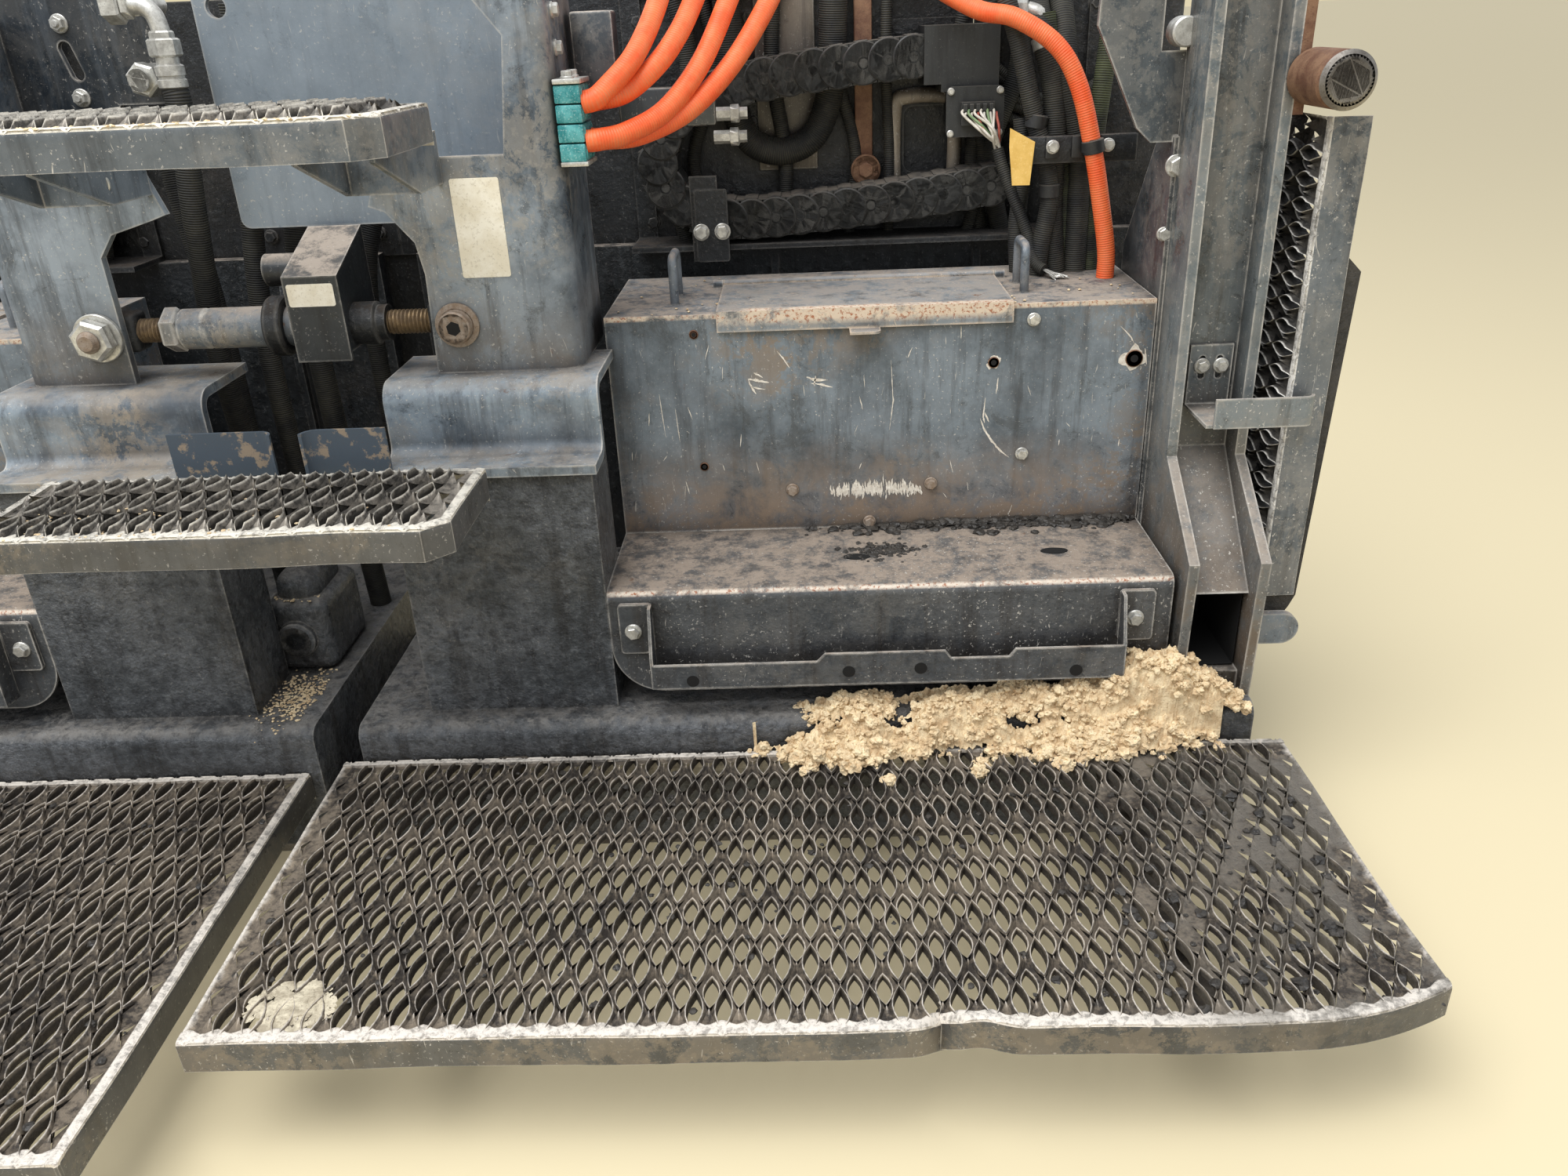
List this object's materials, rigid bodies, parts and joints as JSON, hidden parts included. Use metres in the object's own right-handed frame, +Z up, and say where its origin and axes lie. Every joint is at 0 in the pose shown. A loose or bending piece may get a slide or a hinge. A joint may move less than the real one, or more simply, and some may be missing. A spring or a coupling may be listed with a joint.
{
  "type": "paver screed",
  "caption": "Main screed of an asphalt paver: two halves joined at the crown, tool lockers with lids, grating walkways, steps and fold-down end walkways.",
  "frame": {"origin": "on the floor under the middle of the screed: crown plane, middle of its depth, underside of the sole plates", "axes": "+X to the right as seen from behind the paver, +Y forward in the paver's direction of travel, +Z up"},
  "size_m": [2.576, 1.195, 1.08],
  "materials": {
    "dark_paint": "worn satin",
    "tarred_paint": "worn satin",
    "bare_steel": "worn",
    "worn_grating": "worn",
    "rusty_steel": "rusty",
    "black_plastic": "matte",
    "orange_sleeve": "matte",
    "black_rubber": "matte",
    "zinc": "satin",
    "teal_plastic": "matte"
  },
  "bodies": {
    "screed": {"base_frame_right": "tarred_paint", "base_frame_left": "tarred_paint", "sole_plate_right": "bare_steel", "sole_plate_left": "bare_steel", "rear_wall_right": "tarred_paint", "rear_wall_left": "tarred_paint", "crown_bracket_right": "dark_paint", "crown_bracket_left": "dark_paint", "centre_post_right": "dark_paint", "centre_post_left": "dark_paint", "locker_right": "dark_paint", "locker_left": "dark_paint", "lifting_loops": "dark_paint", "ledge_cover_right": "tarred_paint", "ledge_cover_left": "tarred_paint", "tool_rails": "dark_paint", "end_post_right": "dark_paint", "end_post_left": "dark_paint", "side_plates": "dark_paint", "hook_brackets": "dark_paint", "walkway_right": "worn_grating", "walkway_left": "worn_grating", "fold_hinges": "dark_paint", "stops": "rusty_steel", "front_wall_right": "dark_paint", "front_wall_left": "dark_paint", "tow_brackets": "dark_paint", "upper_step": "worn_grating", "lower_step": "worn_grating", "step_arms": "dark_paint", "turnbuckle": "rusty_steel", "turnbuckle_cover": "dark_paint", "centre_panels": "dark_paint", "tool_hooks": "dark_paint", "carrier_frames": "dark_paint", "cable_carriers": "black_plastic", "carrier_covers": "dark_paint", "connector_boxes": "black_plastic", "hose_clamps": "teal_plastic", "orange_hoses": "orange_sleeve", "black_hoses": "black_rubber", "centre_hoses": "black_rubber", "hose_fittings": "zinc"},
    "lid_right": {"lid_right": "dark_paint"},
    "lid_left": {"lid_left": "dark_paint"},
    "end_walkway_right": {"end_walkway_right": "worn_grating"},
    "end_walkway_left": {"end_walkway_left": "worn_grating"}
  },
  "joints": [
    {"name": "lid_right_hinge", "type": "hinge", "parent": "screed", "child": "lid_right", "pos_m": [0.7075, 0.408, 0.6693], "axis": [-1, 0, 0], "range_deg": [0, 100]},
    {"name": "lid_left_hinge", "type": "hinge", "parent": "screed", "child": "lid_left", "pos_m": [-0.7075, 0.408, 0.6693], "axis": [-1, 0, 0], "range_deg": [0, 100]},
    {"name": "end_walkway_right_fold", "type": "hinge", "parent": "screed", "child": "end_walkway_right", "pos_m": [1.252, 0.2405, 0.25], "axis": [0, 1, 0], "range_deg": [0, 90]},
    {"name": "end_walkway_left_fold", "type": "hinge", "parent": "screed", "child": "end_walkway_left", "pos_m": [-1.252, 0.2405, 0.25], "axis": [0, -1, 0], "range_deg": [0, 90]}
  ]
}
